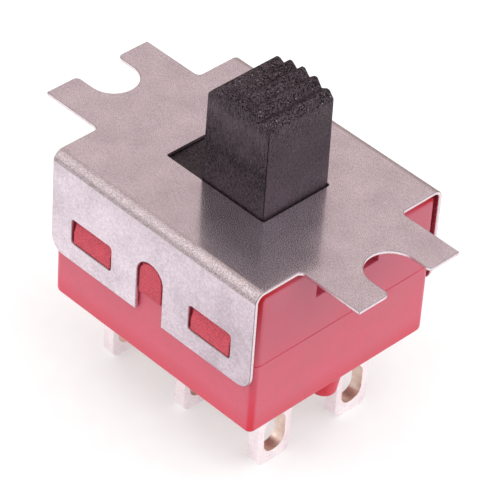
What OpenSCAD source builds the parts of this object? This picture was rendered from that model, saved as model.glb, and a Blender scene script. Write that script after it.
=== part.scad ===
// Miniature double-pole slide switch with solder lugs, made to be screwed behind a panel.
// The origin is the middle of the panel face, +Z leaves through the panel and the slider moves along X.
// The slider is shown at the +X end of its travel. Lengths are in millimetres.

/* [Bracket] */
// Length of the plate and flanges along the slide
bracket_l = 12.5; // [12.4:0.1:13.6]
// Width over the two flanges
bracket_w = 11.1; // [10.9:0.1:12]
// Thickness of the sheet
sheet_t = 0.18; // [0.15:0.01:0.3]
// Outside radius of the folds
fold_r = 0.5; // [0.45:0.05:0.6]
// Depth of the flanges below the panel face
flange_h = 5.27; // [4.9:0.01:5.6]
// Radius of the flanges' lower corners
flange_corner_r = 0.75; // [0.4:0.05:0.8]
// Distance from ear tip to ear tip
ear_span = 19.25; // [18.8:0.05:20.4]
// Width of the ears
ear_w = 5.95; // [5.4:0.05:6.6]
// Distance between the centres of the two ear slots' round ends
ear_slot_pitch = 17.2; // [17:0.1:17.6]
// Width of the ear slots
ear_slot_w = 2.4; // [2.2:0.1:2.6]
// Rounding of the ear slots' mouths
mouth_r = 0.25; // [0.2:0.05:0.45]
// Fillet where an ear leaves the plate
root_r = 0.25; // [0.15:0.05:0.4]

/* [Snap windows and key notch] */
// Distance between the middles of a flange's two windows
window_pitch = 7.4; // [7.2:0.05:7.7]
// Length of a window
window_l = 2.54; // [2.2:0.02:2.6]
// Height of a window
window_h = 1.32; // [1.2:0.02:1.4]
// Depth of a window's top edge below the panel face
window_top = 2.93; // [2.85:0.02:3.05]
// Corner radius of a window
window_r = 0.18; // [0.1:0.02:0.3]
// Width of the key notch
notch_w = 1.6; // [1.4:0.05:1.8]
// Depth of the notch's round top below the panel face
notch_top = 2.3; // [2.1:0.05:2.6]

/* [Knob and slider] */
// Travel of the slider
travel = 2.05; // [1.8:0.05:2.2]
// Length of the knob along the slide
knob_l = 3.75; // [3.5:0.05:4]
// Width of the knob
knob_w = 3.84; // [3.5:0.02:4.1]
// Height of the knob's middle ridge above the panel face
knob_h = 5.17; // [4:0.01:6]
// Slope of the knob's sides, as the inset from foot to top
knob_draft = 0.04; // [0:0.01:0.1]
// Number of ridges across the knob
ridge_count = 5; // [3:2:5]
// Distance between ridges
ridge_pitch = 0.74; // [0.6:0.02:0.76]
// Depth of the grooves between ridges
ridge_depth = 0.29; // [0.15:0.01:0.35]
// Width of the flat on top of a ridge
ridge_flat = 0.16; // [0.1:0.02:0.24]
// Radius of the crown that the ridges follow
crown_r = 3.8; // [3.4:0.1:8]
// Gap between the knob and the sides of its opening
slide_gap = 0.045; // [0.03:0.005:0.08]
// Gap left at each end of the opening at the end of the travel
stop_gap = 0.08; // [0.06:0.01:0.12]
// Corner radius of that opening
slot_corner_r = 0.1; // [0.05:0.01:0.12]
// Thickness of the slider plate under the bracket
slider_t = 1.25; // [1.1:0.05:1.4]

/* [Base] */
// Depth of the underside below the panel face
base_depth = 7.95; // [7.8:0.05:8.8]
// Inset of the base's ends from the bracket's ends
end_inset = 0; // [0:0.01:0.2]
// Gap between the base and the insides of the flanges
flange_gap = 0.05; // [0.05:0.01:0.25]
// Radius of the edges and corners below the parting step
base_edge_r = 0.35; // [0.2:0.05:0.45]
// Radius of the edges and corners above it, which clears the insides of the folds
base_top_r = 0.4; // [0.35:0.05:0.5]
// Depth of the parting step below the panel face
parting_depth = 4.14; // [4.04:0.02:4.16]
// Inset of the walls above the parting step
parting_step = 0.02; // [0.02:0.01:0.06]
// Thickness of the floor
floor_t = 1.75; // [1.6:0.05:2]
// Thickness of the side walls
wall_t = 1.07; // [0.9:0.01:1.1]
// Width of the notch in the top of each end wall
end_notch_w = 3.7; // [3:0.1:4.4]
// Depth of that notch's bottom below the panel face
end_notch_depth = 2.05; // [1.6:0.05:2.6]
// Radius of the pegs at their roots under the base
peg_r = 0.72; // [0.6:0.02:0.8]
// Narrowing of a peg from root to tip, on the radius
peg_taper = 0.14; // [0.05:0.01:0.2]
// Height of the pegs
peg_h = 0.85; // [0.5:0.05:1.2]

/* [Terminals and contacts] */
// Distance between neighbouring lugs along the slide
lug_pitch_x = 4.7; // [4.5:0.05:4.8]
// Place of each row of lugs, as a share of the room from the middle rib to the side ledge
pole_share = 0.5714; // [0.54:0.0002:0.6]
// Width of a lug
lug_w = 1.95; // [1.7:0.05:2.1]
// Thickness of a lug
lug_t = 0.65; // [0.5:0.05:0.75]
// Depth of the lug tips below the panel face
lug_depth = 11.85; // [11.4:0.05:13]
// Corner radius of a lug's tip
lug_tip_r = 0.42; // [0.2:0.02:0.6]
// Width of a lug's wire hole
hole_w = 1.25; // [1:0.05:1.3]
// Length of a lug's wire hole
hole_l = 2; // [1.6:0.05:2.4]
// Metal left below a wire hole
hole_land = 0.55; // [0.4:0.05:0.7]
// Height of the rocking edge above the floor
pivot_h = 1.75; // [1.7:0.05:1.85]
// Thickness of a rocker contact
rocker_t = 0.35; // [0.25:0.05:0.4]
// Tilt of a rocker contact at each end of the travel
rocker_angle = 7; // [5:0.5:8]
// Wire diameter of a plunger spring
spring_wire = 0.16; // [0.12:0.02:0.18]
// Turns in a plunger spring
spring_turns = 4; // [3:1:5]

/* [Hidden] */
$fn = 48;
cut = 0.5;
bond = 0.2;
half = 0.5;
lift_gap = 0.05;
play = 0.1;
fit_gap = 0.03;
cover_lap = 0.15;
// knob opening and slider
slot_l = knob_l + travel + 2 * stop_gap;
slot_w = knob_w + 2 * slide_gap;
rest_x = travel / 2;
slider_l = slot_l + travel + 2 * cover_lap;
slider_top = -sheet_t - lift_gap;
slider_bot = slider_top - slider_t;
end_drop = 0.15;
// base
base_l = bracket_l - 2 * end_inset;
base_w = bracket_w - 2 * sheet_t - 2 * flange_gap;
cavity_l = slider_l + travel + 2 * (stop_gap + lift_gap);
cavity_w = base_w - 2 * wall_t;
slider_w = cavity_w - 2 * play;
ledge = 0.35;
ledge_z = slider_bot - lift_gap;
floor_z = floor_t - base_depth;
end_wall = (base_l - cavity_l) / 2;
end_notch_share = 0.6;
end_notch_in = end_wall * end_notch_share;
rib_t = 0.8;
rib_top = -2.4;
pole_room = (cavity_w - rib_t) / 2 - ledge;
pole_y = rib_t / 2 + pole_share * pole_room;
pivot_depth = -floor_z - pivot_h;
peg_inset = 0.08;
peg_x = base_l / 2 - peg_r - peg_inset;
// snap barbs and keys
barb_sink = 0.04;
barb_gap = 0.1;
barb_y = bracket_w / 2 - barb_sink;
barb_root = base_w / 2 - parting_step - bond;
key_gap = 0.12;
key_depth = parting_depth + fit_gap;
// guides, plungers and springs
guide_r = 0.95;
guide_share = 0.5;
guide_l = (slider_bot + pivot_depth) * guide_share;
guide_bot = slider_bot - guide_l;
bore_r = 0.55;
bore_roof = 0.45;
bore_top = slider_top - bore_roof;
plunger_gap = 0.05;
plunger_r = bore_r - plunger_gap;
tip_gap = 0.06;
tip_z = rocker_t - pivot_depth + tip_gap;
spring_share = 0.365;
spring_len = (bore_top - tip_z) * spring_share;
spring_r = plunger_r - spring_wire;
spring_pitch = spring_len / spring_turns;
seat_z = bore_top - spring_len;
pin_r = 0.2;
pin_share = 0.4;
pin_h = spring_len * pin_share;
spring_steps = 8;
spring_slices = 14;
// rockers and terminals
rocker_reach = cavity_l / 2 - 2 * play;
rocker_w = 1.9;
neck_w = 1.1;
neck_room = 0.4;
neck_l = lug_t + neck_room;
pivot_gap = 0.02;
fork_clear = 0.3;
fork_w = 2 * (pole_room * (1 - pole_share) - fork_clear);
fork_gap = neck_w + 2 * play;
fork_h = 0.5;
shoulder_h = 0.5;
contact_gap = 0.03;
contact_h = 0.3;
contact_w = 1.4;
contact_crown = 1.2;
contact_z = -pivot_depth - contact_gap;
// resin seals
seal_t = 0.45;
seal_w = 2.7;
seal_l = 2 * lug_pitch_x + lug_t + 2 * cover_lap;
seal_r = 0.4;
// colours
steel = "#C9C4C6";
red_nylon = "#C8283C";
black_nylon = "#2B282B";
silver = "#DCD8D6";
amber = "#8A5A32";

// Flat outlines

module round_rect(l, w, r) {
    square([l - 2 * r, w], center = true);
    square([l, w - 2 * r], center = true);
    for (sx = [-1, 1], sy = [-1, 1])
        translate([sx * (l / 2 - r), sy * (w / 2 - r)]) circle(r);
}

// Outline with square top corners at z 0 and round lower corners
module round_foot(l, h, r) {
    translate([-l / 2, r - h]) square([l, h - r]);
    translate([r - l / 2, -h]) square([l - 2 * r, h]);
    for (s = [-1, 1]) translate([s * (l / 2 - r), r - h]) circle(r);
}

// Corner of a square with its inside round left off
module corner_web(r) {
    difference() {
        square(r);
        translate([r, r]) circle(r);
    }
}

// Stands a flat outline up: its y becomes Z, and it is thickened along Y
module along_y(t) {
    rotate([90, 0, 0]) linear_extrude(t, center = true) children();
}

// Stands a flat outline up: its x becomes Y and its y becomes Z, and it is thickened along X
module along_x(t) {
    rotate([90, 0, 90]) linear_extrude(t, center = true) children();
}

// Bracket

module sheet_section() {
    w = bracket_w;
    difference() {
        rotate(180) translate([0, flange_h]) round_foot(w, flange_h, fold_r);
        translate([0, -sheet_t - flange_h]) rotate(180)
            round_foot(w - 2 * sheet_t, flange_h, fold_r - sheet_t);
    }
}

module bracket_plan() {
    square([bracket_l, bracket_w], center = true);
    difference() {
        union() {
            square([ear_span, ear_w], center = true);
            for (s = [0, 1], f = [0, 1]) mirror([s, 0]) mirror([0, f])
                translate([bracket_l / 2, ear_w / 2]) corner_web(root_r);
        }
        for (s = [0, 1]) mirror([s, 0]) ear_slot();
    }
}

module ear_slot() {
    translate([ear_slot_pitch / 2, 0]) circle(ear_slot_w / 2);
    translate([ear_slot_pitch / 2, -ear_slot_w / 2]) square([ear_span, ear_slot_w]);
    for (f = [0, 1]) mirror([0, f])
        translate([ear_span / 2, ear_slot_w / 2]) rotate(90) corner_web(mouth_r);
}

module bracket_side() {
    round_foot(bracket_l, flange_h, flange_corner_r);
    translate([-ear_span / 2, -fold_r]) square([ear_span, fold_r]);
}

module notch(gap, low) {
    r = notch_w / 2 - gap;
    top = -notch_top - gap;
    translate([0, top - r]) circle(r);
    translate([-r, low]) square([2 * r, top - r - low]);
}

module bracket() {
    color(steel) difference() {
        intersection() {
            along_x(ear_span) sheet_section();
            translate([0, 0, -flange_h]) linear_extrude(flange_h) bracket_plan();
            along_y(bracket_w) bracket_side();
        }
        translate([0, 0, -fold_r]) linear_extrude(2 * fold_r) round_rect(slot_l, slot_w, slot_corner_r);
        along_y(bracket_w + cut) notch(0, -flange_h - cut);
        for (s = [-1, 1])
            translate([s * window_pitch / 2, 0, -window_top - window_h / 2])
                along_y(bracket_w + cut) round_rect(window_l, window_h, window_r);
    }
}

// Base

// Block with a flat top at z 0, round upright edges, and round lower edges and corners
module round_block(l, w, h, r) {
    along_x(l - 2 * r) round_foot(w, h, r);
    along_y(w - 2 * r) round_foot(l, h, r);
    for (sx = [-1, 1], sy = [-1, 1]) translate([sx * (l / 2 - r), sy * (w / 2 - r), r - h]) {
        cylinder(r = r, h = h - r);
        sphere(r);
    }
}

// Two round blocks, the upper one turned over and slightly smaller
module base_block() {
    rise = parting_depth + bond - sheet_t;
    translate([0, 0, -parting_depth]) round_block(base_l, base_w, base_depth - parting_depth, base_edge_r);
    translate([0, 0, -parting_depth - bond]) rotate([180, 0, 0])
        round_block(base_l - 2 * parting_step, base_w - 2 * parting_step, rise, base_top_r);
}

// Section of a snap barb on the +Y side: a lead-in slope, a land and a flat catch below
module barb_section() {
    top = -window_top - barb_gap;
    low = -window_top - window_h + barb_gap * half;
    polygon([
        [barb_root, low],
        [barb_y, low],
        [barb_y, (top + low) / 2],
        [barb_root + bond, top],
        [barb_root, top]
    ]);
}

module side_snaps() {
    for (s = [-1, 1])
        translate([s * window_pitch / 2, 0, 0])
            along_x(window_l - 2 * barb_gap) barb_section();
    translate([0, (barb_y + barb_root) / 2, 0])
        along_y(barb_y - barb_root) notch(key_gap, -key_depth);
}

module peg() {
    translate([0, 0, -peg_h]) cylinder(r1 = peg_r - peg_taper, r2 = peg_r, h = peg_h);
    cylinder(r = peg_r, h = base_edge_r + bond);
}

module lug_places() {
    for (x = [-1, 0, 1], y = [-1, 1])
        translate([x * lug_pitch_x, y * pole_y]) children();
}

module seal_outline(gap) {
    round_rect(seal_l - 2 * gap, seal_w - 2 * gap, seal_r);
}

module base() {
    color(red_nylon) union() {
        difference() {
            union() {
                base_block();
                side_snaps();
                rotate(180) side_snaps();
                for (s = [-1, 1]) translate([s * peg_x, 0, -base_depth]) peg();
            }
            translate([-cavity_l / 2, -cavity_w / 2, ledge_z]) cube([cavity_l, cavity_w, base_depth]);
            translate([-cavity_l / 2, ledge - cavity_w / 2, floor_z])
                cube([cavity_l, cavity_w - 2 * ledge, base_depth]);
            for (s = [0, 1]) mirror([s, 0, 0])
                translate([base_l / 2 - end_notch_in, -end_notch_w / 2, -end_notch_depth])
                    cube([base_l, end_notch_w, base_depth]);
            translate([0, 0, -base_depth - cut]) linear_extrude(floor_t + 2 * cut) lug_places()
                square([lug_t + 2 * fit_gap, lug_w + 2 * fit_gap], center = true);
            for (y = [-1, 1]) translate([0, y * pole_y, -base_depth - cut])
                linear_extrude(seal_t + cut) seal_outline(0);
        }
        translate([-cavity_l / 2 - bond, -rib_t / 2, floor_z - bond])
            cube([cavity_l + 2 * bond, rib_t, rib_top - floor_z + bond]);
    }
}

// Actuator

function crown(x) = knob_h - crown_r + sqrt(crown_r * crown_r - x * x);
function ridge_x(i) = (i - (ridge_count - 1) / 2) * ridge_pitch;
function groove(i) = [ridge_x(i) - ridge_pitch / 2, crown(ridge_x(i) - ridge_pitch / 2) - ridge_depth];
function ridge(i) = [
    [ridge_x(i) + ridge_flat / 2, crown(ridge_x(i))],
    [ridge_x(i) - ridge_flat / 2, crown(ridge_x(i))]
];

module knob_side() {
    foot = knob_l / 2;
    top = foot - knob_draft;
    end_h = crown(top) - end_drop;
    polygon(concat(
        [[-foot, slider_top - bond], [foot, slider_top - bond], [foot, 0], [top, end_h]],
        [for (i = [ridge_count - 1:-1:0]) each concat(ridge(i), i > 0 ? [groove(i)] : [])],
        [[-top, end_h], [-foot, 0]]
    ));
}

module knob_front() {
    foot = knob_w / 2;
    top = foot - knob_draft;
    polygon([
        [-foot, slider_top - bond], [foot, slider_top - bond], [foot, 0],
        [top, knob_h + bond], [-top, knob_h + bond], [-foot, 0]
    ]);
}

module pole_pair() {
    for (y = [-1, 1]) translate([0, y * pole_y, 0]) children();
}

module actuator() {
    color(black_nylon) translate([rest_x, 0, 0]) difference() {
        union() {
            intersection() {
                along_y(knob_w + cut) knob_side();
                along_x(knob_l + cut) knob_front();
            }
            translate([-slider_l / 2, -slider_w / 2, slider_bot]) cube([slider_l, slider_w, slider_t]);
            pole_pair() translate([0, 0, guide_bot]) cylinder(r = guide_r, h = guide_l + bond);
        }
        pole_pair() translate([0, 0, guide_bot - cut]) cylinder(r = bore_r, h = bore_top - guide_bot + cut);
    }
}

// Plungers and springs

module plunger_section() {
    dome_z = tip_z + plunger_r;
    intersection() {
        translate([0, dome_z]) circle(plunger_r);
        translate([0, tip_z - cut]) square([knob_l, seat_z - tip_z + cut]);
    }
    translate([0, dome_z]) square([plunger_r, seat_z - dome_z]);
    translate([0, dome_z]) square([pin_r, seat_z - dome_z + pin_h]);
}

module plunger(side) {
    color(amber) translate([rest_x, side * pole_y, 0]) rotate_extrude() plunger_section();
}

// Level cut through one turn of the wire, wide enough that the twist gives a round wire
function wire_r(k) = -cos(180 * k / spring_steps) * spring_wire / 2;
function wire_turn(k) = sin(180 * k / spring_steps) * spring_wire / 2 / spring_pitch * 360;
function wire_point(k, s) = (spring_r + wire_r(k)) * [cos(s * wire_turn(k)), sin(s * wire_turn(k))];

module spring(side) {
    color(steel) translate([rest_x, side * pole_y, seat_z])
        linear_extrude(spring_len, twist = -360 * spring_turns,
            slices = spring_slices * spring_turns, segments = 2 * spring_steps)
            polygon(concat(
                [for (k = [0:spring_steps]) wire_point(k, -1)],
                [for (k = [spring_steps - 1:-1:1]) wire_point(k, 1)]
            ));
}

// Rocker contacts

module rocker_side() {
    rise = rocker_reach * tan(rocker_angle);
    t = rocker_t / cos(rocker_angle);
    polygon([
        [0, 0], [rocker_reach, rise], [rocker_reach, rise + t],
        [0, t], [-rocker_reach, rise + t], [-rocker_reach, rise]
    ]);
}

module rocker_plan() {
    square([2 * rocker_reach, neck_w], center = true);
    wing = rocker_reach - neck_l / 2;
    for (s = [-1, 1]) translate([s * (neck_l + wing) / 2, 0]) square([wing, rocker_w], center = true);
}

module rocker(side) {
    color(silver) translate([0, side * pole_y, -pivot_depth]) rotate([0, rocker_angle, 0])
        intersection() {
            along_y(rocker_w) rocker_side();
            translate([0, 0, -rocker_reach]) linear_extrude(2 * rocker_reach) rocker_plan();
        }
}

// Terminals, their contacts and the resin around them

module lug_outline(top) {
    difference() {
        union() {
            translate([0, top]) round_foot(lug_w, top + lug_depth, lug_tip_r);
            translate([-fork_w / 2, floor_z]) square([fork_w, shoulder_h]);
        }
        translate([0, hole_land - lug_depth + hole_l / 2]) rotate(90) wire_hole();
    }
}

module wire_hole() {
    straight = hole_l - hole_w;
    square([straight, hole_w], center = true);
    for (s = [-1, 1]) translate([s * straight / 2, 0]) circle(hole_w / 2);
}

module common_terminal(side) {
    saddle = -pivot_depth - pivot_gap;
    color(silver) translate([0, side * pole_y, 0]) along_x(lug_t) difference() {
        union() {
            lug_outline(saddle);
            translate([-fork_w / 2, floor_z]) square([fork_w, saddle + fork_h - floor_z]);
        }
        translate([-fork_gap / 2, saddle]) square([fork_gap, fork_h + cut]);
    }
}

module end_terminal(side, end) {
    color(silver) translate([end * lug_pitch_x, side * pole_y, 0])
        along_x(lug_t) lug_outline(contact_z - contact_h);
}

module end_contact(side, end) {
    color(silver) translate([end * lug_pitch_x, side * pole_y, contact_z])
        along_y(contact_w) intersection() {
            translate([-lug_t / 2, -contact_h]) square([lug_t, contact_h]);
            translate([0, -contact_crown]) circle(contact_crown);
        }
}

module seal(side) {
    color(amber) translate([0, 0, -base_depth]) linear_extrude(seal_t) difference() {
        translate([0, side * pole_y]) seal_outline(fit_gap);
        lug_places() square([lug_t + 2 * fit_gap, lug_w + 2 * fit_gap], center = true);
    }
}

bracket();
base();
actuator();
plunger(-1);  // plunger_front
plunger(1);  // plunger_back
spring(-1);  // spring_front
spring(1);  // spring_back
rocker(-1);  // rocker_front
rocker(1);  // rocker_back
common_terminal(-1);  // common_terminal_front
common_terminal(1);  // common_terminal_back
end_terminal(-1, -1);  // end_terminal_front_left
end_terminal(-1, 1);  // end_terminal_front_right
end_terminal(1, -1);  // end_terminal_back_left
end_terminal(1, 1);  // end_terminal_back_right
end_contact(-1, -1);  // end_contact_front_left
end_contact(-1, 1);  // end_contact_front_right
end_contact(1, -1);  // end_contact_back_left
end_contact(1, 1);  // end_contact_back_right
seal(-1);  // seal_front
seal(1);  // seal_back
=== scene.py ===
import math
import bmesh
import bpy
from mathutils import Matrix, Vector


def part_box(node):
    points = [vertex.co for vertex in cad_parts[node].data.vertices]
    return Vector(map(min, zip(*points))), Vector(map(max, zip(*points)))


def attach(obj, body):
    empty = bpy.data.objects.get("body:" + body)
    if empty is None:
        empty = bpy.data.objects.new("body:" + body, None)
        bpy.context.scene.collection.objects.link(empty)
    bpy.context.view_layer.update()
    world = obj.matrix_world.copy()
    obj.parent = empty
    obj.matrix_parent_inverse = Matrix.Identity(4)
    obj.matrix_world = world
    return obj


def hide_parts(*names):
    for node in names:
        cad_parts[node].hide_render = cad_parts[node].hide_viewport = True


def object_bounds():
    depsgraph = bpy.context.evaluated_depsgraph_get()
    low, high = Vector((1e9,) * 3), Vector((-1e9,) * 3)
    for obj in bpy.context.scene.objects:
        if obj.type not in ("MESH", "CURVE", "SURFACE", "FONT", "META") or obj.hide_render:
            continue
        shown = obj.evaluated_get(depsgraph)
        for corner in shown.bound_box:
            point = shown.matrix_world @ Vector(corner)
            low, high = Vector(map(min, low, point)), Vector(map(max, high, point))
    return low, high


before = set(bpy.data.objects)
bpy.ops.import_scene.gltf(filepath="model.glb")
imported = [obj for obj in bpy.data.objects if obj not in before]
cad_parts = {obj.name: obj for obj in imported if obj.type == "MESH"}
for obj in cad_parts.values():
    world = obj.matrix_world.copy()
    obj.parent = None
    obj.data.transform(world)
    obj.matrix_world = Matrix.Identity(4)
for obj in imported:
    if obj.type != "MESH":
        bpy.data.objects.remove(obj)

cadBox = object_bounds()
mm = 0.001
noiseLow, noiseHigh = 0.3, 0.7      # most of a noise texture's values lie between these
print("stage: frame loaded,", len(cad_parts), "nodes")


def linear(hexText):        # sRGB hex to the linear values that shader sockets take
    parts = [int(hexText[i:i + 2], 16) / 255 for i in (1, 3, 5)]
    return tuple(p / 12.92 if p <= 0.04045 else ((p + 0.055) / 1.055) ** 2.4 for p in parts) + (1.0,)


def perMetre(size):         # texture scale for a pattern of this size in millimetres
    return 1 / (size * mm)


def addNode(tree, kind, settings=None, inputs=None):    # inputs are constants, or sockets to link from
    node = tree.nodes.new(kind)
    for name, value in (settings or {}).items():
        setattr(node, name, value)
    for name, value in (inputs or {}).items():
        if isinstance(value, bpy.types.NodeSocket):
            tree.links.new(value, node.inputs[name])
        else:
            node.inputs[name].default_value = value
    return node


def newMaterial(name):      # returns the material, its tree and the object coordinates
    material = bpy.data.materials.new(name)
    material.use_nodes = True
    tree = material.node_tree
    tree.nodes.clear()
    coords = addNode(tree, "ShaderNodeTexCoord").outputs["Object"]
    return material, tree, coords


def setRamp(ramp, stops):   # stops are (place, colour) pairs
    elements = ramp.color_ramp.elements
    while len(elements) < len(stops):
        elements.new(1.0)
    for element, (place, colour) in zip(elements, stops):
        element.position = place
        element.color = colour


def byHeight(tree, coords, points):     # a value that follows (height in mm, value) points
    low, high = points[0][0], points[-1][0]
    place = addNode(tree, "ShaderNodeSeparateXYZ", inputs={"Vector": coords})
    rise = addNode(tree, "ShaderNodeMapRange", inputs={
        "Value": place.outputs["Z"], "From Min": low * mm, "From Max": high * mm})
    ramp = addNode(tree, "ShaderNodeValToRGB", inputs={"Fac": rise.outputs["Result"]})
    setRamp(ramp, [((z - low) / (high - low), (value, value, value, 1.0)) for z, value in points])
    return ramp.outputs["Color"]


def closeMaterial(tree, shader):
    addNode(tree, "ShaderNodeOutputMaterial", inputs={"Surface": shader.outputs[0]})


# Satin stainless strip, rolled and bent: a fine grain over a clouded mirror, so near things show blurred.
# The grain is drawn coarser than the real one, so that it shows
# Painted shade on the steel: darker toward one low corner, in a band just below the fold, and on the
# rounded rims
steelLook = {"bright": "#EEE1EA", "dull": "#B9ABB4", "tintFrom": 0.20, "tintTo": 0.63, "shadedRim": "#75686D",
             "cloud": 1.8, "waveDepth": 0.003, "speck": 0.13, "speckShare": 0.55,
             "grain": 0.035, "grainDepth": 0.0002, "grainFrom": 0.46, "grainTo": 0.60,
             "roughLow": 0.13, "roughHigh": 0.46,
             "foldDark": "#A6989C", "foldBright": "#DACACC", "foldFrom": 0.40, "foldTo": 0.62,
             "foldGrain": 0.055, "foldDepth": 0.007, "foldRough": 0.5,
             "cornerShadeFrom": (-1.0, -0.6), "cornerShadeTo": (6.3, -2.5), "cornerShadeShare": -0.20, "plainTone": 0.5,
             "paintedLightTones": ((-5.3, 0.44), (-2.0, 0.44), (-0.6, 0.37), (-0.2, 0.44), (0.0, 0.48))}


def makeRolledSteel(name, look):
    material, tree, coords = newMaterial(name)
    cloud = addNode(tree, "ShaderNodeTexNoise", inputs={
        "Vector": coords, "Scale": perMetre(look["cloud"]), "Detail": 4.0, "Roughness": 0.62})
    grain = addNode(tree, "ShaderNodeTexNoise", inputs={
        "Vector": coords, "Scale": perMetre(look["grain"]), "Detail": 2.0, "Roughness": 0.55})
    speck = addNode(tree, "ShaderNodeTexNoise", inputs={
        "Vector": coords, "Scale": perMetre(look["speck"]), "Detail": 3.0, "Roughness": 0.7})
    tint = addNode(tree, "ShaderNodeMix", {"data_type": "FLOAT"}, {
        0: look["speckShare"], 2: cloud.outputs["Fac"], 3: speck.outputs["Fac"]})
    place = addNode(tree, "ShaderNodeSeparateXYZ", inputs={"Vector": coords})
    # painted shade: the steel is darker toward one low corner of the flange
    along, down = [addNode(tree, "ShaderNodeMapRange", inputs={
        "Value": place.outputs[axis], "From Min": start * mm, "From Max": stop * mm})
        for axis, start, stop in zip("XZ", look["cornerShadeFrom"], look["cornerShadeTo"])]
    cornerShade = addNode(tree, "ShaderNodeMath", {"operation": "MULTIPLY"}, {      # duller to one low corner
        0: along.outputs["Result"], 1: down.outputs["Result"]})
    cornerShaded = addNode(tree, "ShaderNodeMath", {"operation": "MULTIPLY_ADD"}, {
        0: cornerShade.outputs[0], 1: look["cornerShadeShare"], 2: tint.outputs[0]})
    # painted shade in a band just below the fold; the plate a little lighter than the flange
    level = addNode(tree, "ShaderNodeMath", {"operation": "ADD"}, {             # and beside the fold
        0: cornerShaded.outputs[0], 1: byHeight(tree, coords, look["paintedLightTones"])})
    tone = addNode(tree, "ShaderNodeMath", {"operation": "SUBTRACT"}, {
        0: level.outputs[0], 1: look["plainTone"]})
    ramp = addNode(tree, "ShaderNodeValToRGB", inputs={"Fac": tone.outputs[0]})
    setRamp(ramp, [(look["tintFrom"], linear(look["dull"])), (look["tintTo"], linear(look["bright"]))])
    peel = addNode(tree, "ShaderNodeTexNoise", inputs={
        "Vector": coords, "Scale": perMetre(look["foldGrain"]), "Detail": 2.0, "Roughness": 0.6})
    crystal = addNode(tree, "ShaderNodeValToRGB", inputs={"Fac": peel.outputs["Fac"]})
    setRamp(crystal, [(look["foldFrom"], linear(look["foldDark"])),
                      (look["foldTo"], linear(look["foldBright"]))])
    fold = addNode(tree, "ShaderNodeAttribute", {"attribute_name": "foldShare"}).outputs["Fac"]
    # painted shade on the rounded rims
    shadedRim = addNode(tree, "ShaderNodeAttribute", {"attribute_name": "shadedRimShare"}).outputs["Fac"]
    bent = addNode(tree, "ShaderNodeMix", {"data_type": "RGBA"}, {
        0: fold, 6: ramp.outputs["Color"], 7: crystal.outputs["Color"]})
    colour = addNode(tree, "ShaderNodeMix", {"data_type": "RGBA"}, {
        0: shadedRim, 6: bent.outputs[2], 7: linear(look["shadedRim"])})
    rough = addNode(tree, "ShaderNodeMapRange", inputs={
        "Value": grain.outputs["Fac"], "From Min": look["grainFrom"], "From Max": look["grainTo"],
        "To Min": look["roughLow"], "To Max": look["roughHigh"]})
    wave = addNode(tree, "ShaderNodeBump", inputs={
        "Strength": 1.0, "Distance": look["waveDepth"] * mm, "Height": cloud.outputs["Fac"]})
    bump = addNode(tree, "ShaderNodeBump", inputs={
        "Strength": 1.0, "Distance": look["grainDepth"] * mm, "Height": grain.outputs["Fac"],
        "Normal": wave.outputs["Normal"]})
    coarse = addNode(tree, "ShaderNodeBump", inputs={
        "Strength": fold, "Distance": look["foldDepth"] * mm, "Height": peel.outputs["Fac"],
        "Normal": bump.outputs["Normal"]})
    satin = addNode(tree, "ShaderNodeMix", {"data_type": "FLOAT"}, {
        0: fold, 2: rough.outputs["Result"], 3: look["foldRough"]})
    shader = addNode(tree, "ShaderNodeBsdfPrincipled", inputs={
        "Base Color": colour.outputs[2], "Metallic": 1.0, "Roughness": satin.outputs[0],
        "Normal": coarse.outputs["Normal"]})
    closeMaterial(tree, shader)
    return material


# Sheared edge of the same strip: brighter, with a fine torn grain, and painted shade on its rounded rims
shearLook = {"bright": "#F0E2E6", "dull": "#CEBEC4", "tintFrom": 0.3, "tintTo": 0.6, "shadedRim": "#75686D",
             "grain": 0.06, "grainDepth": 0.004, "rough": 0.3}


def makeShearedEdge(name, look):
    material, tree, coords = newMaterial(name)
    grain = addNode(tree, "ShaderNodeTexNoise", inputs={
        "Vector": coords, "Scale": perMetre(look["grain"]), "Detail": 2.0, "Roughness": 0.6})
    ramp = addNode(tree, "ShaderNodeValToRGB", inputs={"Fac": grain.outputs["Fac"]})
    setRamp(ramp, [(look["tintFrom"], linear(look["dull"])), (look["tintTo"], linear(look["bright"]))])
    # painted shade on the rounded rims
    shadedRim = addNode(tree, "ShaderNodeAttribute", {"attribute_name": "shadedRimShare"}).outputs["Fac"]
    colour = addNode(tree, "ShaderNodeMix", {"data_type": "RGBA"}, {
        0: shadedRim, 6: ramp.outputs["Color"], 7: linear(look["shadedRim"])})
    bump = addNode(tree, "ShaderNodeBump", inputs={
        "Strength": 1.0, "Distance": look["grainDepth"] * mm, "Height": grain.outputs["Fac"]})
    shader = addNode(tree, "ShaderNodeBsdfPrincipled", inputs={
        "Base Color": colour.outputs[2], "Metallic": 1.0, "Roughness": look["rough"],
        "Normal": bump.outputs["Normal"]})
    closeMaterial(tree, shader)
    return material


# Red glass-filled nylon, moulded: soft sheen, faint flow clouds, fibre specks, a little light in the skin
# Painted shade: darker towards the top, dark red on the upper rounded edges beside the flange, and a deeper
# red with less gloss on rounded edges and foot
redLook = {"deep": "#DA445B", "pale": "#E7546C", "tintFrom": 0.36, "tintTo": 0.64,
           "flow": 1.9, "fibre": 0.11, "fibreShare": 0.3, "grain": 0.09, "grainDepth": 0.0022,
           "ior": 1.6, "gloss": 0.5, "sheen": "#FFE6FF", "roughLow": 0.36, "roughHigh": 0.56,
           "skin": 0.12, "skinDepth": 0.35, "skinRadius": (1.0, 0.25, 0.2), "coat": 0.6, "coatRough": 0.4,
           "upper": "#C2485F", "upperTones": ((-8.0, 0.05), (-5.0, 0.25), (-3.0, 0.7), (-0.2, 0.95)),
           "edge": "#E63C4C", "upperEdge": "#BE1A22", "edgeGloss": 0.2,
           "upperEdgeShadeTones": ((-8.0, 0.0), (-5.7, 0.0), (-5.1, 1.0), (-0.2, 1.0)),
           "footShadeTones": ((-8.0, 0.8), (-7.5, 0.35), (-6.7, 0.0), (-0.2, 0.0))}
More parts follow.
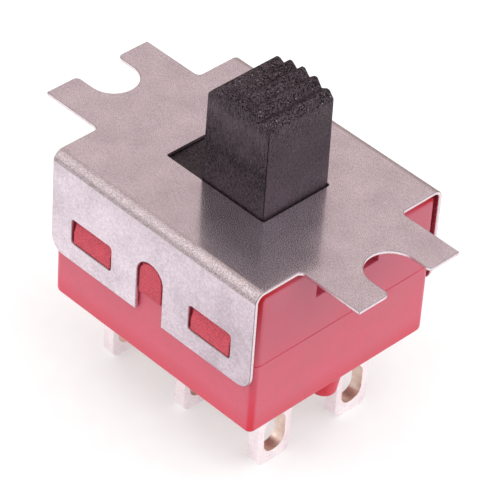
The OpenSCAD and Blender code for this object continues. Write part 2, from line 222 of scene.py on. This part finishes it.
# The same nylon on the snap barbs and keys, scuffed dull by the bracket, with no painted shade towards the
# top, on the upper edges or at the foot
oneTone = ((-8.0, 0.0), (-0.2, 0.0))
scuffLook = dict(redLook, deep="#B02636", pale="#E8626E", flow=0.5, fibre=0.055, fibreShare=0.7,
                 grain=0.1, grainDepth=0.012, roughLow=0.5, roughHigh=0.8, skin=0.08, skinDepth=0.1,
                 coat=0.0, coatRough=0.6, edge="#D8404E", edgeGloss=0.5,
                 upperTones=oneTone, upperEdgeShadeTones=oneTone, footShadeTones=oneTone)


def makeRedNylon(name, look):
    material, tree, coords = newMaterial(name)
    flow = addNode(tree, "ShaderNodeTexNoise", inputs={
        "Vector": coords, "Scale": perMetre(look["flow"]), "Detail": 5.0, "Roughness": 0.6,
        "Distortion": 0.4})
    fibre = addNode(tree, "ShaderNodeTexNoise", inputs={
        "Vector": coords, "Scale": perMetre(look["fibre"]), "Detail": 2.0, "Roughness": 0.6})
    grain = addNode(tree, "ShaderNodeTexNoise", inputs={
        "Vector": coords, "Scale": perMetre(look["grain"]), "Detail": 2.0, "Roughness": 0.5})
    mixed = addNode(tree, "ShaderNodeMix", {"data_type": "FLOAT"}, {
        0: look["fibreShare"], 2: flow.outputs["Fac"], 3: fibre.outputs["Fac"]})
    ramp = addNode(tree, "ShaderNodeValToRGB", inputs={"Fac": mixed.outputs[0]})
    setRamp(ramp, [(look["tintFrom"], linear(look["deep"])), (look["tintTo"], linear(look["pale"]))])
    rough = addNode(tree, "ShaderNodeMapRange", inputs={
        "Value": flow.outputs["Fac"], "From Min": noiseLow, "From Max": noiseHigh,
        "To Min": look["roughLow"], "To Max": look["roughHigh"]})
    bump = addNode(tree, "ShaderNodeBump", inputs={
        "Strength": 1.0, "Distance": look["grainDepth"] * mm, "Height": grain.outputs["Fac"]})
    # painted shade: rounded faces and the foot take a deeper red with less gloss and less coat, so they
    # lack the sheen; upper rounded edges a dark red
    turned = addNode(tree, "ShaderNodeAttribute", {"attribute_name": "roundShare"}).outputs["Fac"]
    edge = addNode(tree, "ShaderNodeMath", {"operation": "MAXIMUM"}, {      # edges and foot: a deeper red
        0: turned, 1: byHeight(tree, coords, look["footShadeTones"])}).outputs[0]
    rounded = addNode(tree, "ShaderNodeMix", {"data_type": "RGBA"}, {
        0: byHeight(tree, coords, look["upperEdgeShadeTones"]),
        6: linear(look["edge"]), 7: linear(look["upperEdge"])})
    # painted shade: darker towards the top
    upperShaded = addNode(tree, "ShaderNodeMix", {"data_type": "RGBA"}, {
        0: byHeight(tree, coords, look["upperTones"]), 6: ramp.outputs["Color"], 7: linear(look["upper"])})
    colour = addNode(tree, "ShaderNodeMix", {"data_type": "RGBA"}, {
        0: edge, 6: upperShaded.outputs[2], 7: rounded.outputs[2]})
    coat = addNode(tree, "ShaderNodeMath", {"operation": "MULTIPLY_ADD"}, {
        0: edge, 1: -look["coat"], 2: look["coat"]})
    gloss = addNode(tree, "ShaderNodeMapRange", inputs={
        "Value": edge, "To Min": look["gloss"], "To Max": look["edgeGloss"]})
    shader = addNode(tree, "ShaderNodeBsdfPrincipled", inputs={
        "Base Color": colour.outputs[2], "Roughness": rough.outputs["Result"], "IOR": look["ior"],
        "Specular IOR Level": gloss.outputs["Result"], "Specular Tint": linear(look["sheen"]),
        "Subsurface Weight": look["skin"], "Subsurface Radius": look["skinRadius"],
        "Subsurface Scale": look["skinDepth"] * mm, "Coat Weight": coat.outputs[0],
        "Coat Roughness": look["coatRough"], "Normal": bump.outputs["Normal"]})
    closeMaterial(tree, shader)
    return material


# Black nylon, moulded with a spark-eroded grain: matte, with upright draw marks and tiny painted glints.
# The grain is drawn coarser than the real one, so that it shows
# Painted light: lighter near the top and on the end faces, with painted glints there; painted shade on the
# upright rims
blackLook = {"deep": "#050304", "pale": "#3D3137", "tintFrom": 0.38, "tintTo": 0.66,
             "grain": 0.07, "grainDepth": 0.03, "grainShare": 0.6, "drawWide": 0.06, "drawTall": 0.2,
             "cloud": 2.4, "cloudShare": 0.15, "roughLow": 0.38, "roughHigh": 0.60,
             "ior": 1.5, "sheen": "#FFE6F4", "pitLow": 0.10, "pitHigh": 0.98,
             "edgeShade": "#080607", "edgeShadeGloss": 0.1, "paintedEndLight": 0.55, "plainTone": 0.5,
             "paintedLightTones": ((0.0, 0.49), (2.0, 0.43), (4.0, 0.59), (4.6, 0.51), (5.2, 0.47)),
             "contrasts": ((0.0, 1.05), (2.6, 1.1), (4.2, 1.5), (4.8, 1.9), (5.2, 1.9)),
             "glint": "#A0969C", "glintSize": 0.09, "glintFrom": 0.77, "glintTo": 0.85,
             "glintTones": ((0.0, 0.2), (2.8, 0.3), (4.2, 1.0), (5.2, 1.0))}


def makeBlackNylon(name, look):
    material, tree, coords = newMaterial(name)
    grain = addNode(tree, "ShaderNodeTexNoise", inputs={
        "Vector": coords, "Scale": perMetre(look["grain"]), "Detail": 3.0, "Roughness": 0.6})
    stretch = addNode(tree, "ShaderNodeMapping", {"vector_type": "POINT"}, {
        "Vector": coords, "Scale": (perMetre(look["drawWide"]), perMetre(look["drawWide"]),
                                    perMetre(look["drawTall"]))})
    draw = addNode(tree, "ShaderNodeTexNoise", inputs={
        "Vector": stretch.outputs["Vector"], "Scale": 1.0, "Detail": 3.0, "Roughness": 0.6})
    glint = addNode(tree, "ShaderNodeTexNoise", inputs={
        "Vector": coords, "Scale": perMetre(look["glintSize"]), "Detail": 0.0})
    cloud = addNode(tree, "ShaderNodeTexNoise", inputs={
        "Vector": coords, "Scale": perMetre(look["cloud"]), "Detail": 2.0})
    fine = addNode(tree, "ShaderNodeMix", {"data_type": "FLOAT"}, {
        0: look["grainShare"], 2: draw.outputs["Fac"], 3: grain.outputs["Fac"]})
    mixed = addNode(tree, "ShaderNodeMix", {"data_type": "FLOAT"}, {
        0: look["cloudShare"], 2: fine.outputs[0], 3: cloud.outputs["Fac"]})
    # painted light: lighter near the top, darker low down, and lighter on the end faces
    ends = addNode(tree, "ShaderNodeAttribute", {"attribute_name": "endShare"}).outputs["Fac"]
    shift = addNode(tree, "ShaderNodeMix", {"data_type": "FLOAT"}, {
        0: ends, 2: byHeight(tree, coords, look["paintedLightTones"]), 3: look["paintedEndLight"]})
    swing = addNode(tree, "ShaderNodeMath", {"operation": "SUBTRACT"}, {
        0: mixed.outputs[0], 1: look["plainTone"]})
    tone = addNode(tree, "ShaderNodeMath", {"operation": "MULTIPLY_ADD"}, {
        0: swing.outputs[0], 1: byHeight(tree, coords, look["contrasts"]), 2: shift.outputs[0]}).outputs[0]
    ramp = addNode(tree, "ShaderNodeValToRGB", inputs={"Fac": tone})
    setRamp(ramp, [(look["tintFrom"], linear(look["deep"])), (look["tintTo"], linear(look["pale"]))])
    # painted glints, most of them near the top
    glintShare = addNode(tree, "ShaderNodeMapRange", inputs={
        "Value": glint.outputs["Fac"], "From Min": look["glintFrom"], "From Max": look["glintTo"],
        "To Min": 0.0, "To Max": byHeight(tree, coords, look["glintTones"])})
    glinted = addNode(tree, "ShaderNodeMix", {"data_type": "RGBA"}, {
        0: glintShare.outputs["Result"], 6: ramp.outputs["Color"], 7: linear(look["glint"])})
    # painted shade on the knob's upright rims: darker and with less gloss
    edgeShadeMask = addNode(tree, "ShaderNodeAttribute", {"attribute_name": "shadedRimShare"}).outputs["Fac"]
    colour = addNode(tree, "ShaderNodeMix", {"data_type": "RGBA"}, {
        0: edgeShadeMask, 6: glinted.outputs[2], 7: linear(look["edgeShade"])})
    rough = addNode(tree, "ShaderNodeMapRange", inputs={
        "Value": grain.outputs["Fac"], "From Min": noiseLow, "From Max": noiseHigh,
        "To Min": look["roughLow"], "To Max": look["roughHigh"]})
    bump = addNode(tree, "ShaderNodeBump", inputs={
        "Strength": 1.0, "Distance": look["grainDepth"] * mm, "Height": grain.outputs["Fac"]})
    pits = addNode(tree, "ShaderNodeMapRange", inputs={
        "Value": tone, "From Min": look["tintFrom"], "From Max": look["tintTo"],
        "To Min": look["pitLow"], "To Max": look["pitHigh"]})
    gloss = addNode(tree, "ShaderNodeMix", {"data_type": "FLOAT"}, {
        0: edgeShadeMask, 2: pits.outputs["Result"], 3: look["edgeShadeGloss"]})
    shader = addNode(tree, "ShaderNodeBsdfPrincipled", inputs={
        "Base Color": colour.outputs[2], "Roughness": rough.outputs["Result"], "IOR": look["ior"],
        "Specular IOR Level": gloss.outputs[0], "Specular Tint": linear(look["sheen"]),
        "Normal": bump.outputs["Normal"]})
    closeMaterial(tree, shader)
    return material


metalTintTo = 0.62      # where a fine metal's cloud reaches its bright tint


def makeFineMetal(name, look):
    material, tree, coords = newMaterial(name)      # a clouded tint and a fine grain
    cloud = addNode(tree, "ShaderNodeTexNoise", inputs={
        "Vector": coords, "Scale": perMetre(look["cloud"]), "Detail": 4.0, "Roughness": 0.65})
    grain = addNode(tree, "ShaderNodeTexNoise", inputs={
        "Vector": coords, "Scale": perMetre(look["grain"]), "Detail": 2.0, "Roughness": 0.5})
    ramp = addNode(tree, "ShaderNodeValToRGB", inputs={"Fac": cloud.outputs["Fac"]})
    setRamp(ramp, [(noiseLow, linear(look["dull"])), (metalTintTo, linear(look["bright"]))])
    rough = addNode(tree, "ShaderNodeMapRange", inputs={
        "Value": grain.outputs["Fac"], "From Min": noiseLow, "From Max": noiseHigh,
        "To Min": look["roughLow"], "To Max": look["roughHigh"]})
    bump = addNode(tree, "ShaderNodeBump", inputs={
        "Strength": 1.0, "Distance": look["grainDepth"] * mm, "Height": grain.outputs["Fac"]})
    shader = addNode(tree, "ShaderNodeBsdfPrincipled", inputs={
        "Base Color": ramp.outputs["Color"], "Metallic": 1.0, "Roughness": rough.outputs["Result"],
        "Normal": bump.outputs["Normal"]})
    closeMaterial(tree, shader)
    return material


# Bright silver plating on the lugs, milky where it is thick
platingLook = {"bright": "#FFF6F9", "dull": "#F2E4EA", "cloud": 0.9, "grain": 0.08,
               "roughLow": 0.16, "roughHigh": 0.34, "grainDepth": 0.002}
# Punched wall of a wire hole, where the copper alloy shows warm through thin plating
punchedLook = {"bright": "#FFF0E6", "dull": "#F2D8CA", "cloud": 0.3, "grain": 0.06,
               "roughLow": 0.35, "roughHigh": 0.55, "grainDepth": 0.004}
# Silver alloy of the contacts, rubbed bright with a trace of tarnish
silverLook = {"bright": "#EAE4DC", "dull": "#C9BFB0", "cloud": 0.6, "grain": 0.05,
              "roughLow": 0.18, "roughHigh": 0.36, "grainDepth": 0.002}
# Inner side of the bracket's strip, with its mill finish
innerLook = {"bright": "#E4D8DE", "dull": "#CABEC4", "cloud": 1.2, "grain": 0.06,
             "roughLow": 0.12, "roughHigh": 0.3, "grainDepth": 0.002}
# Drawn spring wire, blue-grey steel
wireLook = {"bright": "#B9BBBF", "dull": "#8F9196", "cloud": 0.25, "grain": 0.03,
            "roughLow": 0.2, "roughHigh": 0.35, "grainDepth": 0.001}


# Natural nylon of the plungers, moulded: waxy and cream, with faint clouds
plainNylonLook = {"deep": "#D9CDB6", "pale": "#EDE4D2", "tintTo": 0.68, "flow": 0.5, "ior": 1.48,
                  "rough": 0.35, "coat": 0.0, "grain": 0.05, "grainDepth": 0.002}
# Casting resin poured round the lugs: brown and glossy, with slow waves and faint clouds
resinLook = {"deep": "#4A2416", "pale": "#7A4326", "tintTo": 0.68, "flow": 0.8, "ior": 1.48,
             "rough": 0.14, "coat": 0.5, "grain": 1.1, "grainDepth": 0.02}


def makeClearSkin(name, look):
    material, tree, coords = newMaterial(name)
    flow = addNode(tree, "ShaderNodeTexNoise", inputs={
        "Vector": coords, "Scale": perMetre(look["flow"]), "Detail": 5.0, "Roughness": 0.65})
    grain = addNode(tree, "ShaderNodeTexNoise", inputs={
        "Vector": coords, "Scale": perMetre(look["grain"]), "Detail": 2.0, "Roughness": 0.5})
    ramp = addNode(tree, "ShaderNodeValToRGB", inputs={"Fac": flow.outputs["Fac"]})
    setRamp(ramp, [(noiseLow, linear(look["deep"])), (look["tintTo"], linear(look["pale"]))])
    bump = addNode(tree, "ShaderNodeBump", inputs={
        "Strength": 1.0, "Distance": look["grainDepth"] * mm, "Height": grain.outputs["Fac"]})
    shader = addNode(tree, "ShaderNodeBsdfPrincipled", inputs={
        "Base Color": ramp.outputs["Color"], "Roughness": look["rough"], "IOR": look["ior"],
        "Coat Weight": look["coat"], "Normal": bump.outputs["Normal"]})
    closeMaterial(tree, shader)
    return material


rolledSteel = makeRolledSteel("satinStainlessStrip", steelLook)
shearedEdge = makeShearedEdge("shearedSteelEdge", shearLook)
millSteel = makeFineMetal("millFinishSteel", innerLook)
redNylon = makeRedNylon("redGlassNylon", redLook)
scuffedNylon = makeRedNylon("scuffedRedNylon", scuffLook)
blackNylon = makeBlackNylon("blackGrainedNylon", blackLook)
silverPlating = makeFineMetal("silverPlating", platingLook)
punchedWall = makeFineMetal("punchedCopperAlloy", punchedLook)
contactSilver = makeFineMetal("contactSilver", silverLook)
drawnWire = makeFineMetal("drawnSpringWire", wireLook)
plainNylon = makeClearSkin("naturalNylon", plainNylonLook)
brownResin = makeClearSkin("brownCastingResin", resinLook)
print("stage: materials made")


# All pieces: points nearer than weldGap in mm are merged, faces within flatAngle in degrees are joined,
# edges sharper than shadeAngle stay sharp in the shading, and rims of any tilt are marked
meshLook = {"weldGap": 0.0005, "flatAngle": 0.5, "shadeAngle": 50, "rimTilt": 1.1}


def cadMesh(nodeName):      # a merged copy of a solid's mesh with its flat triangles joined
    bm = bmesh.new()
    bm.from_mesh(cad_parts[nodeName].data)
    bmesh.ops.remove_doubles(bm, verts=bm.verts, dist=meshLook["weldGap"] * mm)
    flatAngle = math.radians(meshLook["flatAngle"])
    bmesh.ops.dissolve_limit(bm, angle_limit=flatAngle, verts=bm.verts, edges=bm.edges)
    return bm


def markPoints(bm, name, test):     # a share for the shaders: 1 at the points that pass, 0 at the others
    layer = bm.verts.layers.float.new(name)
    for vert in bm.verts:
        vert[layer] = 1.0 if test(vert) else 0.0


def breakEdges(bm, look, skip=None):    # rounds every crisp edge by the piece's own radius
    crisp = [e for e in bm.edges if len(e.link_faces) == 2
             and e.calc_face_angle(0) > math.radians(look["crisp"]) and not (skip and skip(e))]
    made = bmesh.ops.bevel(bm, geom=crisp, offset=look["round"] * mm, offset_type="OFFSET", affect="EDGES",
                           segments=look["steps"], profile=0.5, material=-1, clamp_overlap=False,
                           loop_slide=True)
    rimTilt = look.get("rimTilt", meshLook["rimTilt"])
    # the new rounded faces are marked; some materials paint them in shade
    shadedRim = {f for f in made["faces"] if abs(f.normal.z) < rimTilt}
    markPoints(bm, "shadedRimShare", lambda v: shadedRim.issuperset(v.link_faces))


def evenFlats(piece):       # flats stay flat beside rounded edges
    rough = piece.data      # weighed in mm, because Blender drops weights as small as areas in metres
    rough.transform(Matrix.Scale(1 / mm, 4))
    even = piece.modifiers.new("evenNormals", "WEIGHTED_NORMAL")
    even.keep_sharp = True
    graph = bpy.context.evaluated_depsgraph_get()
    piece.data = bpy.data.meshes.new_from_object(
        piece.evaluated_get(graph), preserve_all_data_layers=True, depsgraph=graph)
    piece.data.transform(Matrix.Scale(mm, 4))
    piece.modifiers.clear()
    bpy.data.meshes.remove(rough)


def placePiece(bm, name, nodeName, look, materials):
    mesh = bpy.data.meshes.new(name)
    for face in bm.faces:
        face.smooth = True
    for edge in bm.edges:
        edge.smooth = edge.calc_face_angle(0) < math.radians(look.get("shadeAngle", meshLook["shadeAngle"]))
    bm.to_mesh(mesh)
    bm.free()
    for material in materials:
        mesh.materials.append(material)
    piece = bpy.data.objects.new(name, mesh)
    bpy.context.scene.collection.objects.link(piece)
    evenFlats(piece)
    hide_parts(nodeName)
    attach(piece, look["body"])


# Bracket: folded strip, whose cut faces take the sheared finish
bracketLook = {"slot": "bracket_steel", "body": "housing", "round": 0.04, "steps": 2, "crisp": 40,
               "facing": 0.7, "slant": 0.05, "plateDepth": 0.25, "flangeY": 5.3,
               "foldY": 5.08, "foldZ": -0.47}


def dressBracket():
    bm = cadMesh("bracket")
    for face in bm.faces:
        middle, normal = face.calc_center_median() / mm, face.normal
        facing, slant = bracketLook["facing"], bracketLook["slant"]
        onPlate = abs(normal.z) > facing and middle.z > -bracketLook["plateDepth"]
        onFlange = abs(normal.y) > facing and abs(middle.y) > bracketLook["flangeY"]
        onFold = abs(normal.x) < slant and min(abs(normal.y), abs(normal.z)) > slant
        inside = normal.z < -facing or normal.y * middle.y < 0 and abs(normal.y) > slant
        face.material_index = (2 if inside else 0) if onPlate or onFlange or onFold else 1
    breakEdges(bm, bracketLook)
    foldY, foldZ = bracketLook["foldY"] * mm, bracketLook["foldZ"] * mm
    markPoints(bm, "foldShare", lambda v: abs(v.co.y) > foldY and v.co.z > foldZ)
    placePiece(bm, "foldedBracket", "bracket", bracketLook, [rolledSteel, shearedEdge, millSteel])


# Base: red moulding; the parting step and the roots of barbs, keys and pegs stay crisp
baseLook = {"slot": "base_plastic", "body": "housing", "round": 0.05, "steps": 2, "crisp": 40,
            "partingLow": -4.22, "partingHigh": -4.12, "rootLow": 5.28, "rootHigh": 5.34, "barbY": 5.36,
            "pegX": 5.45, "pegReach": 0.75, "pegLow": -8.0, "pegHigh": -7.7, "flat": 0.975}


def dressBase():
    bm = cadMesh("base")

    def isRoot(vert):
        x, y, z = abs(vert.co.x) / mm, abs(vert.co.y) / mm, vert.co.z / mm
        atParting = baseLook["partingLow"] < z < baseLook["partingHigh"]
        onSide = baseLook["rootLow"] < y < baseLook["rootHigh"]
        byPeg = math.hypot(x - baseLook["pegX"], y) < baseLook["pegReach"]
        return atParting, onSide, byPeg and baseLook["pegLow"] < z < baseLook["pegHigh"]

    def staysCrisp(edge):       # both ends at the same kind of root
        return any(all(pair) for pair in zip(*map(isRoot, edge.verts)))

    for face in bm.faces:
        face.material_index = 1 if abs(face.calc_center_median().y) / mm > baseLook["barbY"] else 0
    # rounded faces, for the red nylon's painted shade
    turned = {f for f in bm.faces if max(map(abs, f.normal)) < baseLook["flat"]}
    markPoints(bm, "roundShare", lambda v: turned.issuperset(v.link_faces))
    breakEdges(bm, baseLook, staysCrisp)
    placePiece(bm, "redBase", "base", baseLook, [redNylon, scuffedNylon])


# Actuator: black slider with the ridged knob
knobLook = {"slot": "actuator_plastic", "body": "slider", "round": 0.045, "steps": 2, "crisp": 25,
            "rimTilt": 0.2, "endFacing": 0.95, "endArea": 6}      # only its upright rims are marked


def dressKnob():
    bm = cadMesh("actuator")
    breakEdges(bm, knobLook)
    # the end faces, which the black nylon paints lighter
    ends = {f for f in bm.faces if abs(f.normal.x) > knobLook["endFacing"]
            and f.calc_area() > knobLook["endArea"] * mm * mm}
    markPoints(bm, "endShare", lambda v: not ends.isdisjoint(v.link_faces))
    placePiece(bm, "slideKnob", "actuator", knobLook, [blackNylon])


# Terminals: blanked lugs with an oval wire hole
lugLook = {"slot": "terminal_plated", "body": "housing", "round": 0.03, "steps": 2, "crisp": 40,
           "holeTop": -9.2, "holeLow": -11.4, "holeHalf": 0.7, "wallSlant": 0.2}


def dressLug(nodeName, name):
    bm = cadMesh(nodeName)
    low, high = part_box(nodeName)
    middleY = (low[1] + high[1]) / 2 / mm
    for face in bm.faces:
        middle = face.calc_center_median() / mm
        byHole = lugLook["holeLow"] < middle.z < lugLook["holeTop"]
        inHole = byHole and abs(middle.y - middleY) < lugLook["holeHalf"]
        face.material_index = 1 if inHole and abs(face.normal.x) < lugLook["wallSlant"] else 0
    breakEdges(bm, lugLook)
    placePiece(bm, name, nodeName, lugLook, [silverPlating, punchedWall])


# Springs: wire wound as a screw around the plunger's pin
springLook = {"slot": "spring_steel", "body": "slider", "wire": 0.16, "turns": 4, "stepsPerTurn": 40,
              "wireSides": 14, "shadeAngle": 60}


def dressSpring(nodeName, name):
    low, high = (Vector(c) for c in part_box(nodeName))
    middle = (low + high) / 2
    wire = springLook["wire"] * mm
    coil = (high.x - low.x - wire) / 2
    rise = high.z - low.z - wire
    bm = bmesh.new()
    bmesh.ops.create_circle(bm, cap_ends=True, radius=wire / 2, segments=springLook["wireSides"],
                            matrix=Matrix.Translation((middle.x + coil, middle.y, low.z + wire / 2))
                            @ Matrix.Rotation(math.pi / 2, 4, "X"))
    steps = springLook["turns"] * springLook["stepsPerTurn"]
    bmesh.ops.spin(bm, geom=bm.faces[:], cent=(middle.x, middle.y, low.z), axis=(0, 0, 1),
                   dvec=(0, 0, rise / steps), angle=2 * math.pi * springLook["turns"], steps=steps,
                   use_duplicate=False)
    bmesh.ops.recalc_face_normals(bm, faces=bm.faces)
    placePiece(bm, name, nodeName, springLook, [drawnWire])


# Hidden pieces: plungers, rockers, end contacts and the resin
plungerLook = {"slot": "plunger_plastic", "body": "slider", "round": 0.03, "steps": 2, "crisp": 50}
rockerLook = {"slot": "contact_silver", "round": 0.03, "steps": 2, "crisp": 35}
contactLook = {"slot": "contact_silver", "body": "housing", "round": 0.03, "steps": 2, "crisp": 35}
sealLook = {"slot": "seal_resin", "body": "housing", "round": 0.02, "steps": 2, "crisp": 50}


def dressPlain(nodeName, name, look, material):
    bm = cadMesh(nodeName)
    breakEdges(bm, look)
    placePiece(bm, name, nodeName, look, [material])


dressBracket()
dressBase()
dressKnob()
print("stage: bracket, base and knob dressed")
for side in ("front", "back"):
    cap = side.capitalize()
    dressLug("common_terminal_" + side, "commonLug" + cap)
    dressSpring("spring_" + side, "plungerSpring" + cap)
    dressPlain("plunger_" + side, "plunger" + cap, plungerLook, plainNylon)
    dressPlain("rocker_" + side, "rocker" + cap, dict(rockerLook, body="rocker_" + side), contactSilver)
    dressPlain("seal_" + side, "resinSeal" + cap, sealLook, brownResin)
    for end in ("left", "right"):
        tail = cap + end.capitalize()
        dressLug("end_terminal_" + side + "_" + end, "endLug" + tail)
        dressPlain("end_contact_" + side + "_" + end, "endContact" + tail, contactLook, contactSilver)
print("stage: lugs and inside pieces dressed")


# Floor: pale paper; only the camera and mirrors get the added white, so it lights nothing more.
# Far off it is dimmer in mirrors
floorLook = {"size": 3.0, "paper": "#CACACA", "shade": "#C4C4C4", "fibre": 0.9, "white": 0.46,
             "fadeFrom": 32, "fadeTo": 80, "far": 0.2}


def makeFloor():
    bm = bmesh.new()
    bmesh.ops.create_grid(bm, x_segments=1, y_segments=1, size=floorLook["size"] / 2,
                          matrix=Matrix.Translation((0, 0, cadBox[0][2])))
    mesh = bpy.data.meshes.new("paperFloor")
    bm.to_mesh(mesh)
    bm.free()
    material, tree, coords = newMaterial("whitePaper")
    fibre = addNode(tree, "ShaderNodeTexNoise", inputs={
        "Vector": coords, "Scale": perMetre(floorLook["fibre"]), "Detail": 3.0})
    ramp = addNode(tree, "ShaderNodeValToRGB", inputs={"Fac": fibre.outputs["Fac"]})
    setRamp(ramp, [(noiseLow, linear(floorLook["shade"])), (noiseHigh, linear(floorLook["paper"]))])
    path = addNode(tree, "ShaderNodeLightPath")
    away = addNode(tree, "ShaderNodeVectorMath", {"operation": "LENGTH"}, {0: coords})
    fade = addNode(tree, "ShaderNodeMapRange", inputs={
        "Value": away.outputs["Value"], "From Min": floorLook["fadeFrom"] * mm,
        "From Max": floorLook["fadeTo"] * mm, "To Min": 0.0, "To Max": 1 - floorLook["far"]})
    dim = addNode(tree, "ShaderNodeMath", {"operation": "MULTIPLY"}, {
        0: fade.outputs["Result"], 1: path.outputs["Is Glossy Ray"]})
    dimmed = addNode(tree, "ShaderNodeMix", {"data_type": "RGBA"}, {
        0: dim.outputs[0], 6: ramp.outputs["Color"], 7: linear("#000000")})
    paper = addNode(tree, "ShaderNodeBsdfDiffuse", inputs={"Color": dimmed.outputs[2]})
    seen = addNode(tree, "ShaderNodeMath", {"operation": "MAXIMUM"}, {
        0: path.outputs["Is Camera Ray"], 1: addNode(tree, "ShaderNodeMath", {"operation": "MAXIMUM"}, {
            0: path.outputs["Is Glossy Ray"], 1: path.outputs["Is Transmission Ray"]}).outputs[0]})
    near = addNode(tree, "ShaderNodeMath", {"operation": "SUBTRACT"}, {
        0: seen.outputs[0], 1: dim.outputs[0]})
    white = addNode(tree, "ShaderNodeEmission", inputs={
        "Strength": addNode(tree, "ShaderNodeMath", {"operation": "MULTIPLY"}, {
            0: near.outputs[0], 1: floorLook["white"]}).outputs[0]})
    both = addNode(tree, "ShaderNodeAddShader", inputs={0: paper.outputs[0], 1: white.outputs[0]})
    closeMaterial(tree, both)
    mesh.materials.append(material)
    floor = bpy.data.objects.new("paperFloor", mesh)
    bpy.context.scene.collection.objects.link(floor)


# Room: pale walls, dim at the skyline and warm grey on the side that the bracket's plate shows
roomLook = {"skyline": "#606060", "pale": "#BEBEBE", "warm": "#D8CCC7", "skylineTop": 0.2,
            "warmWay": (-0.69, 0.72, 0.0), "warmFrom": 0.2, "warmTo": 0.6}


def makeRoom():
    world = bpy.data.worlds.new("paleRoom")
    world.use_nodes = True
    tree = world.node_tree
    tree.nodes.clear()
    way = addNode(tree, "ShaderNodeTexCoord").outputs["Generated"]
    height = addNode(tree, "ShaderNodeSeparateXYZ", inputs={"Vector": way})
    side = addNode(tree, "ShaderNodeVectorMath", {"operation": "DOT_PRODUCT"}, {
        0: way, 1: roomLook["warmWay"]})
    warm = addNode(tree, "ShaderNodeMapRange", {"interpolation_type": "SMOOTHSTEP"}, {
        "Value": side.outputs["Value"], "From Min": roomLook["warmFrom"], "From Max": roomLook["warmTo"]})
    wall = addNode(tree, "ShaderNodeMix", {"data_type": "RGBA"}, {
        0: warm.outputs["Result"], 6: linear(roomLook["pale"]), 7: linear(roomLook["warm"])})
    rise = addNode(tree, "ShaderNodeMapRange", {"interpolation_type": "SMOOTHSTEP"}, {
        "Value": height.outputs["Z"], "From Min": 0.0, "From Max": roomLook["skylineTop"]})
    colour = addNode(tree, "ShaderNodeMix", {"data_type": "RGBA"}, {
        0: rise.outputs["Result"], 6: linear(roomLook["skyline"]), 7: wall.outputs[2]})
    air = addNode(tree, "ShaderNodeBackground", inputs={"Color": colour.outputs[2], "Strength": 1.0})
    addNode(tree, "ShaderNodeOutputWorld", inputs={"Surface": air.outputs[0]})
    bpy.context.scene.world = world


# Lamps: way from the object, distance and size in metres, and how bright the cloth face is
lampLook = {"keyBox": {"way": (-0.34, -0.70, 0.62), "away": 0.6, "size": 0.8, "bright": 1.1},
            "sideBox": {"way": (0.64, 0.38, 0.68), "away": 0.6, "size": 0.9, "bright": 1.06},
            "topBox": {"way": (0.10, -0.05, 1.0), "away": 0.6, "size": 0.55, "bright": 1.0}}


def makeLamps():
    for name, look in lampLook.items():
        lamp = bpy.data.lights.new(name, "AREA")
        lamp.shape = "SQUARE"
        lamp.size = look["size"]
        lamp.energy = look["bright"] * math.pi * look["size"] ** 2
        holder = bpy.data.objects.new(name, lamp)
        way = Vector(look["way"]).normalized()
        holder.location = way * look["away"]
        holder.rotation_euler = way.to_track_quat("Z", "Y").to_euler()
        bpy.context.scene.collection.objects.link(holder)


# Camera: long lens, set by fitting the solids' corners to the picture; in mm and degrees
cameraLook = {"place": (72.726, -76.383, 82.968), "turn": (50.2769, -3.2287, 46.0904), "lens": 226.27,
              "sensor": 36.0, "nearest": 10.0}


def makeCamera():
    lens = bpy.data.cameras.new("productCamera")
    lens.lens = cameraLook["lens"]
    lens.sensor_width = cameraLook["sensor"]
    lens.clip_start = cameraLook["nearest"] * mm
    holder = bpy.data.objects.new("productCamera", lens)
    holder.location = Vector(cameraLook["place"]) * mm
    holder.rotation_euler = [math.radians(a) for a in cameraLook["turn"]]
    bpy.context.scene.collection.objects.link(holder)
    bpy.context.scene.camera = holder


makeFloor()
makeRoom()
makeLamps()
makeCamera()
bpy.context.scene.view_settings.view_transform = "Standard"
print("stage: floor, room, lamps and camera set")
